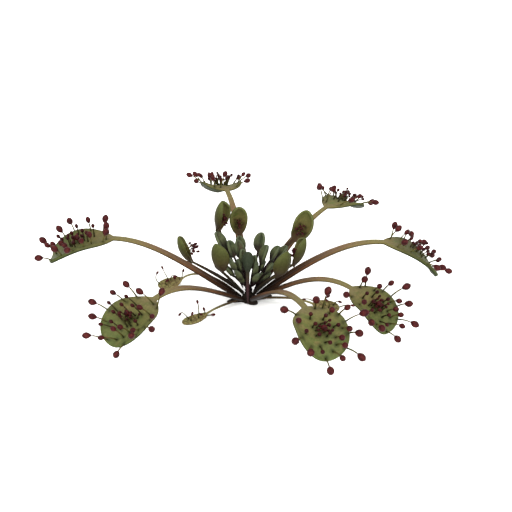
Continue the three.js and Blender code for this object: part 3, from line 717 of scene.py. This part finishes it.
def withered_skin(colours, name):
    """Withered leaf: papery khaki skin creased into a dark net about 1 mm wide, dull and dry."""
    material, tree, place, where = plant_material(name)
    half = add(tree, "Math", TIMES, {0: place[0], 1: 0.5})
    face = add(tree, "ValToRGB", {}, {0: half},
               ramp((0.0, "261c15"), (0.2, "3e3221"), (0.42, "5c5636"), (0.55, colours.old),
                    (1.0, "68653b")))
    # stains about 2 mm wide
    tint = add(tree, "TexNoise", {}, {"Vector": where, "Scale": 500, "Detail": 3})
    stain = add(tree, "MapRange", SMOOTH, {"Value": tint, "From Min": 0.45, "From Max": 0.75,
                                           "To Max": 0.7})
    face = add(tree, "Mix", MIX, {0: stain, 6: face, 7: linear("56432b")}).outputs[2]
    warp = add(tree, "TexNoise", {}, {"Vector": where, "Scale": 700, "Detail": 2})
    shift = add(tree, "VectorMath", {"operation": "MULTIPLY_ADD"},
                {0: warp.outputs["Color"], 1: (1.2 * MM,) * 3, 2: where})
    net = add(tree, "TexVoronoi", {"feature": "DISTANCE_TO_EDGE"}, {"Vector": shift, "Scale": 950})
    line = add(tree, "MapRange", SMOOTH, {"Value": net, "From Max": 0.22, "To Min": 0.85,
                                          "To Max": 0.0})
    blade = add(tree, "MapRange", {}, {"Value": half, "From Min": 0.48, "From Max": 0.54})
    amount = add(tree, "Math", TIMES, {0: line, 1: blade})
    face = add(tree, "Mix", MIX, {0: amount, 6: face, 7: tuple(colours.old_vein)}).outputs[2]
    relief = add(tree, "Bump", {"invert": True}, {"Height": amount, "Strength": 0.8,
                                                  "Distance": 0.12 * MM})
    shader = add(tree, "BsdfPrincipled", {}, {
        "Base Color": face, "Roughness": 0.75, "IOR": 1.45, "Specular IOR Level": 0.1,
        "Normal": relief})
    add(tree, "OutputMaterial", {}, {0: shader})
    return material


def corky_skin(colours, name):
    """Crown: dark, corky tissue with crumbs of about 0.5 mm, fully matt."""
    material, tree = new_material(name)
    where = add(tree, "TexCoord").outputs["Object"]
    crumb = add(tree, "TexNoise", {}, {"Vector": where, "Scale": 900, "Detail": 4,
                                       "Roughness": 0.7})
    body = add(tree, "ValToRGB", {}, {0: crumb},
               ramp((0.3, "0c0908"), (0.55, colours.crown), (0.8, "291e16")))
    relief = add(tree, "Bump", {}, {"Height": crumb, "Strength": 0.8, "Distance": 0.15 * MM})
    shader = add(tree, "BsdfPrincipled", {}, {
        "Base Color": body, "Roughness": 0.9, "IOR": 1.45, "Specular IOR Level": 0.1,
        "Normal": relief})
    add(tree, "OutputMaterial", {}, {0: shader})
    return material


# ---- Operators ----

class SUNDEW_OT_crown(bpy.types.Operator):
    """Builds the short corky crown that carries the leaves"""

    bl_idname = "sundew.crown"
    bl_label = "Build crown"

    def execute(self, context):
        """A flat-bottomed stub turned about the upright axis.

        Its radius is radius + the lobes, each reach exp(-(angle off it / spread)^2), where the
        rim is low, and CROWN_RINGS carry it up. Small crossing waves make it lumpy.
        """
        rings = np.array(CROWN_RINGS)
        azimuth = np.linspace(0, 2 * math.pi, 72, endpoint=False)
        lobe = 0
        for at, reach, spread in CROWN["lobes"]:
            off = azimuth - math.radians(at)
            off = np.degrees(np.arctan2(np.sin(off), np.cos(off)))
            lobe = lobe + reach * np.exp(-(off / spread) ** 2)
        height, lobed, grow = rings[:, 0:1], rings[:, 1:2], rings[:, 2:3]
        radius = CROWN["radius"] + lobe * lobed + np.where(lobed > 0, -grow, grow)
        radius = radius + 0.07 * (np.sin(7 * azimuth + 3 * height)
                                  + np.sin(11 * azimuth - 5 * height))
        points = np.stack([radius * np.sin(azimuth), -radius * np.cos(azimuth),
                           height + 0 * azimuth], -1).reshape(-1, 3)
        points = np.vstack([points, [[0, 0, 0], [0, 0, CROWN["height"]]]])
        quads, fans = lattice(len(rings), len(azimuth))
        place = np.zeros((len(points), 3))
        material = corky_skin(context.scene.sundew_colours, "corky_crown")
        piece("crown_stub", [(points, quads[:, ::-1], fans[:, ::-1], place, place[:, 0])],
              material, "crown")
        return {"FINISHED"}


class SUNDEW_OT_large_leaves(bpy.types.Operator):
    """Builds the seven large spoon leaves with their tentacles and gland heads"""

    bl_idname = "sundew.large_leaves"
    bl_label = "Build large leaves"

    def execute(self, context):
        sizes, colours = context.scene.sundew_sizes, context.scene.sundew_colours
        foot = (0.0, colours.shaded_stalk_foot)
        leaf_skin = skin(
            "waxy_leaf_large",
            # upper face: near the crown the stalk's own brown is deepened by painted shade; at
            # 0.28 and 0.36 it is a little lighter, a painted highlight along the top of the stalk
            ramp(foot, (0.08, "20140d"), (0.16, "312015"), (0.22, colours.stalk),
                 (0.28, "4e3e2f"), (0.36, "5b4834"), (0.46, "5b5435"), (0.54, colours.blade_base),
                 (0.66, colours.blade), (1.0, colours.blade_tip)),
            # edges: near the crown deepened by painted shade, and at 0.3 and 0.4 a little darker
            # as painted shade along the stalk's edges
            ramp(foot, (0.08, "22130a"), (0.16, "331f0f"), (0.22, colours.stalk_rim),
                 (0.3, "4a3822"), (0.4, "574b2e"), (0.54, "544f2e"), (0.7, "4c4c2c"),
                 (1.0, "414b23")),
            # back: the leaf's own dark colours deepened by painted shade under the leaf
            ramp((0.0, "0f0907"), (0.2, "19100a"), (0.38, "271e13"), (0.5, "2e2e1b"),
                 (0.62, colours.shaded_underside), (1.0, "1f250d")),
            # the first colour here is the painted shadow round the tentacles' roots
            "0b1007", ("665838", "445127"), 0.55)
        hair = hair_skin(colours, "tentacle_hair", "3a261d")
        gland = gland_skin(colours, "gland_head")
        table = np.array(LARGE_TENTACLES)
        for number, row in enumerate(LARGE_LEAVES, 1):
            leaf = {**LARGE, **dict(zip(LARGE_KEYS, row))}
            spots = table[:, :4].copy()
            spots[:, 2] = spots[:, 2] * leaf["splay"] + leaf["sway"]
            spots[:, 3] = spots[:, 3] * leaf["splay"] + leaf["drift"]
            roots, ahead = seats(leaf, spots)
            head = table[:, 5] * leaf["heads"]
            length = table[:, 4] * leaf["reach"]
            name = f"large_leaf_{number}"
            blade = blade_shape(leaf, 46, 60, 41, sizes.groove, 0.25, roots=roots,
                                away_shade=leaf["away_shade"])
            piece(f"{name}_blade", [blade], leaf_skin, name)
            hairs, heads = tentacle_shapes(roots, ahead, length, head, sizes.hair_width / MM,
                                           sizes.hair_bow, sizes.head_nod, sizes.head_plumpness)
            for *_, shade in (hairs, heads):
                shade[:] = np.repeat(table[:, 5] < INNER_HEAD, len(shade) // len(table))
            piece(f"{name}_hairs", [hairs], hair, name)
            piece(f"{name}_glands", [heads], gland, name)
        return {"FINISHED"}


class SUNDEW_OT_young_leaves(bpy.types.Operator):
    """Builds the seven upright, cupped young leaves with their short tentacles"""

    bl_idname = "sundew.young_leaves"
    bl_label = "Build young leaves"

    def execute(self, context):
        sizes, colours = context.scene.sundew_sizes, context.scene.sundew_colours
        leaf_skin = skin(
            "waxy_leaf_young",
            # inside: near the crown the stalk's own brown is deepened by painted shade, as at the
            # start of the next two ramps
            ramp((0.0, "130c0a"), (0.3, "1e1711"), (0.5, "2e2014"), (0.62, "3a2e18"),
                 (0.75, colours.young_inside), (1.0, "424624")),
            ramp((0.0, "130c0a"), (0.4, "241e13"), (0.6, "3b3a1f"), (0.8, "4d4e2c"),
                 (1.0, "4f532e")),
            # back: the leaf's own colour deepened by painted shade under the cup, darkest near the
            # crown
            ramp((0.0, "100e09"), (0.3, "16140d"), (0.5, "1c130d"), (0.6, "251c10"),
                 (0.7, "2d2713"), (0.84, colours.young), (1.0, "3c4020")),
            # the first colour here is the painted shadow round the tentacles' roots
            "1c140c", ("45361d", "363f17"), 0.5)
        hair = hair_skin(colours, "young_tentacle_hair", "3a201a")
        gland = gland_skin(colours, "young_gland_head", 0.72)
        table = np.array(YOUNG_TENTACLES)
        for number, row in enumerate(YOUNG_LEAVES, 1):
            leaf = {**YOUNG, **dict(zip(YOUNG_KEYS, row)), **(LOW if number in LOW_LEAVES else {})}
            roots, ahead = seats(leaf, table[:, :4])
            head = table[:, 5] * (0.55 + 0.2 * leaf["reach"])
            length = table[:, 4] * leaf["reach"]
            name = f"young_leaf_{number}"
            piece(f"{name}_blade", [blade_shape(leaf, 26, 40, 33, 0.3, 0.15, roots=roots)],
                  leaf_skin, name)
            hairs, heads = tentacle_shapes(roots, ahead, length, head, YOUNG_HAIR, sizes.hair_bow,
                                           sizes.head_nod, YOUNG_PLUMPNESS)
            piece(f"{name}_hairs", [hairs], hair, name)
            piece(f"{name}_glands", [heads], gland, name)
        return {"FINISHED"}


class SUNDEW_OT_old_leaves(bpy.types.Operator):
    """Builds the three withered leaves that lie on the surface, with their curled tentacles"""

    bl_idname = "sundew.old_leaves"
    bl_label = "Build old leaves"

    def execute(self, context):
        """A withered tentacle is a cubic curve: the sum of its three steps, Bernstein weighted."""
        colours = context.scene.sundew_colours
        leaf_skin = withered_skin(colours, "papery_old_leaf")
        hair = hair_skin(colours, "withered_tentacle_hair", "3a171c")
        gland = gland_skin(colours, "withered_gland_head")
        t = np.linspace(0, 1, 14)[None, :, None]
        for number, (row, curls) in enumerate(zip(OLD_LEAVES, OLD_TENTACLES), 1):
            leaf = {**OLD, **dict(zip(OLD_KEYS, row))}
            spots = np.array([[curl[0], curl[1], 0, 0] for curl in curls])
            roots = seats(leaf, spots)[0][:, None]
            steps = np.array([[(a, 0, b) for a, b in curl[2:]] for curl in curls], float)
            steps = steps[:, :, None]
            paths = (roots + 3 * t * (1 - t) ** 2 * steps[:, 0]
                     + 3 * t ** 2 * (1 - t) * steps[:, 1] + t ** 3 * steps[:, 2])
            radii = np.broadcast_to(OLD_HAIR * (1 - 0.25 * t[..., 0]), paths.shape[:2])
            level = np.tile([0.0, 1.0, 0.0], (len(curls), 1))
            last = paths[:, -1] - paths[:, -2]
            last /= np.linalg.norm(last, axis=1, keepdims=True)
            name = f"old_leaf_{number}"
            piece(f"{name}_blade", [blade_shape(leaf, 26, 44, 33, 0.2, 0, wrinkle=0.035)],
                  leaf_skin, name)
            piece(f"{name}_hairs", [tube_shapes(paths, radii, level, 6)], hair, name)
            heads = egg_shapes(paths[:, -1] - last * OLD_SEAT, last,
                               np.full(len(curls), OLD_HEAD), OLD_PLUMPNESS)
            piece(f"{name}_glands", [heads], gland, name)
        return {"FINISHED"}


class SUNDEW_OT_heart_leaves(bpy.types.Operator):
    """Builds the cluster of small folded leaves at the heart and the core they stand on"""

    bl_idname = "sundew.heart_leaves"
    bl_label = "Build heart leaves"

    def execute(self, context):
        colours = context.scene.sundew_colours
        leaf_skin = skin(
            "waxy_leaf_heart",
            # near the crown the purple-brown bases are deepened by painted shade, here and at the
            # start of the next two ramps
            ramp((0.0, "0e0808"), (0.3, "1c0f0f"), (0.46, "211412"), (0.63, "25221b"),
                 (0.8, colours.heart), (1.0, "3a402f")),
            ramp((0.0, "0e0808"), (0.4, "211412"), (0.6, "33372a"), (0.8, "414732"),
                 (1.0, "434935")),
            ramp((0.0, "0e0808"), (0.3, "1e0f10"), (0.44, "221513"), (0.61, "25241c"),
                 (0.8, colours.heart), (1.0, "373e2e")),
            # the last argument paints shade in the crease along the middle
            "11130e", ("42372c", "2b3724"), 0.55, fold=0.4)
        shapes = []
        for azimuth, reach, height, length, width in HEART_LEAVES:
            out, rise = reach - HEART["base_radius"], height - HEART["base_height"]
            slope = math.degrees(math.atan2(rise, out))
            leaf = {**HEART, "azimuth": azimuth, "blade": length, "width": width,
                    "stalk": math.hypot(out, rise) - length / 2, "rise": slope, "lean": slope,
                    "tip": slope + HEART["curl"]}
            shapes.append(blade_shape(leaf, 12, 24, 25, 0.2, 0.3, crease=0.22))
        high = np.linspace(0, 1, 10)
        rise = CORE["bottom"] + (CORE["top"] - CORE["bottom"]) * high
        path = np.stack([0 * high, 0 * high, rise], -1)
        radii = CORE["radius"] * (1 - 0.5 * high)
        shapes.append(tube_shapes(path[None], radii[None], np.array([[1.0, 0, 0]]), 20))
        piece("heart_leaf_cluster", shapes, leaf_skin, "heart_leaves")
        leaf_skin = skin(
            "waxy_leaf_front",
            ramp((0.0, "261b19"), (0.5, "2e271c"), (0.7, colours.heart), (1.0, "2b3020")),
            ramp((0.0, "261b19"), (0.5, "31291f"), (0.8, colours.heart), (1.0, "333824")),
            ramp((0.0, "2f2222"), (0.3, "342123"), (0.46, "2d271d"), (0.6, "21251c"),
                 (0.8, "262c20"), (1.0, "282e21")),
            "0d0f09", ("2e2e23", "1f291d"), 0.55)
        piece("front_leaf_blade", [blade_shape(FRONT_LEAF, 26, 30, 29, 0.2, 0.3)], leaf_skin,
              "front_leaf")
        return {"FINISHED"}


class SUNDEW_OT_stage(bpy.types.Operator):
    """Builds the plain floor, the soft light and the camera"""

    bl_idname = "sundew.stage"
    bl_label = "Build stage"

    def execute(self, context):
        scene, stage = context.scene, context.scene.sundew_stage
        mesh = bpy.data.meshes.new("floor")
        angle = np.linspace(0, 2 * math.pi, 64, endpoint=False)
        rim = np.stack([np.cos(angle), np.sin(angle), 0 * angle], -1) * FLOOR_RADIUS
        mesh.from_pydata(rim.tolist(), [], [list(range(len(rim)))])
        material, tree = new_material("painted_floor")
        shader = add(tree, "BsdfPrincipled", {}, {
            "Base Color": tuple(stage.floor), "Roughness": 0.9, "Specular IOR Level": 0.1})
        add(tree, "OutputMaterial", {}, {0: shader})
        mesh.materials.append(material)
        floor = bpy.data.objects.new("floor", mesh)
        scene.collection.objects.link(floor)

        world = bpy.data.worlds.new("room")
        scene.world = world
        world.use_nodes = True
        world.node_tree.nodes.clear()
        sky = add(world.node_tree, "Background", {}, {0: (1, 1, 1, 1), 1: stage.sky})
        add(world.node_tree, "OutputWorld", {}, {0: sky})

        lamp = bpy.data.objects.new("overhead_light", bpy.data.lights.new("overhead_light", "SUN"))
        lamp.data.energy = stage.lamp
        lamp.data.angle = stage.lamp_spread
        lamp.rotation_euler = Vector((0, -0.8, 1)).to_track_quat("Z", "Y").to_euler()
        scene.collection.objects.link(lamp)

        camera = bpy.data.objects.new("camera", bpy.data.cameras.new("camera"))
        back = Vector((0, -math.cos(stage.elevation), math.sin(stage.elevation)))
        camera.location = Vector(TARGET) * MM + back * stage.distance
        camera.rotation_euler = (-back).to_track_quat("-Z", "Y").to_euler()
        camera.data.sensor_width = SENSOR
        camera.data.lens = SENSOR * stage.distance / SHOWN
        camera.data.clip_start, camera.data.clip_end = 0.01, 20
        scene.collection.objects.link(camera)
        scene.camera = camera
        scene.view_settings.view_transform = "Standard"
        return {"FINISHED"}


class SUNDEW_PT_plant(bpy.types.Panel):
    """Settings and builders of the sundew plant"""

    bl_idname = "SUNDEW_PT_plant"
    bl_label = "Sundew plant"
    bl_space_type = "VIEW_3D"
    bl_region_type = "UI"
    bl_category = "Sundew"

    def draw(self, context):
        layout = self.layout
        for group in (context.scene.sundew_sizes, context.scene.sundew_colours,
                      context.scene.sundew_stage):
            box = layout.box()
            for name in group.__annotations__:
                box.prop(group, name)
        for operator in OPERATORS:
            layout.operator(operator.bl_idname)


OPERATORS = (SUNDEW_OT_crown, SUNDEW_OT_large_leaves, SUNDEW_OT_young_leaves, SUNDEW_OT_old_leaves,
             SUNDEW_OT_heart_leaves, SUNDEW_OT_stage)
CLASSES = (SundewSizes, SundewColours, SundewStage, *OPERATORS, SUNDEW_PT_plant)


def register():
    """Registers the settings, the operators and the panel."""
    for item in CLASSES:
        bpy.utils.register_class(item)
    bpy.types.Scene.sundew_sizes = bpy.props.PointerProperty(type=SundewSizes)
    bpy.types.Scene.sundew_colours = bpy.props.PointerProperty(type=SundewColours)
    bpy.types.Scene.sundew_stage = bpy.props.PointerProperty(type=SundewStage)


def unregister():
    """Removes what register added."""
    del bpy.types.Scene.sundew_stage, bpy.types.Scene.sundew_colours, bpy.types.Scene.sundew_sizes
    for item in reversed(CLASSES):
        bpy.utils.unregister_class(item)


def main():
    """Registers the add-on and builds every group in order."""
    register()
    bpy.ops.sundew.crown()
    bpy.ops.sundew.large_leaves()
    bpy.ops.sundew.young_leaves()
    bpy.ops.sundew.old_leaves()
    bpy.ops.sundew.heart_leaves()
    bpy.ops.sundew.stage()


if __name__ == "__main__":
    main()
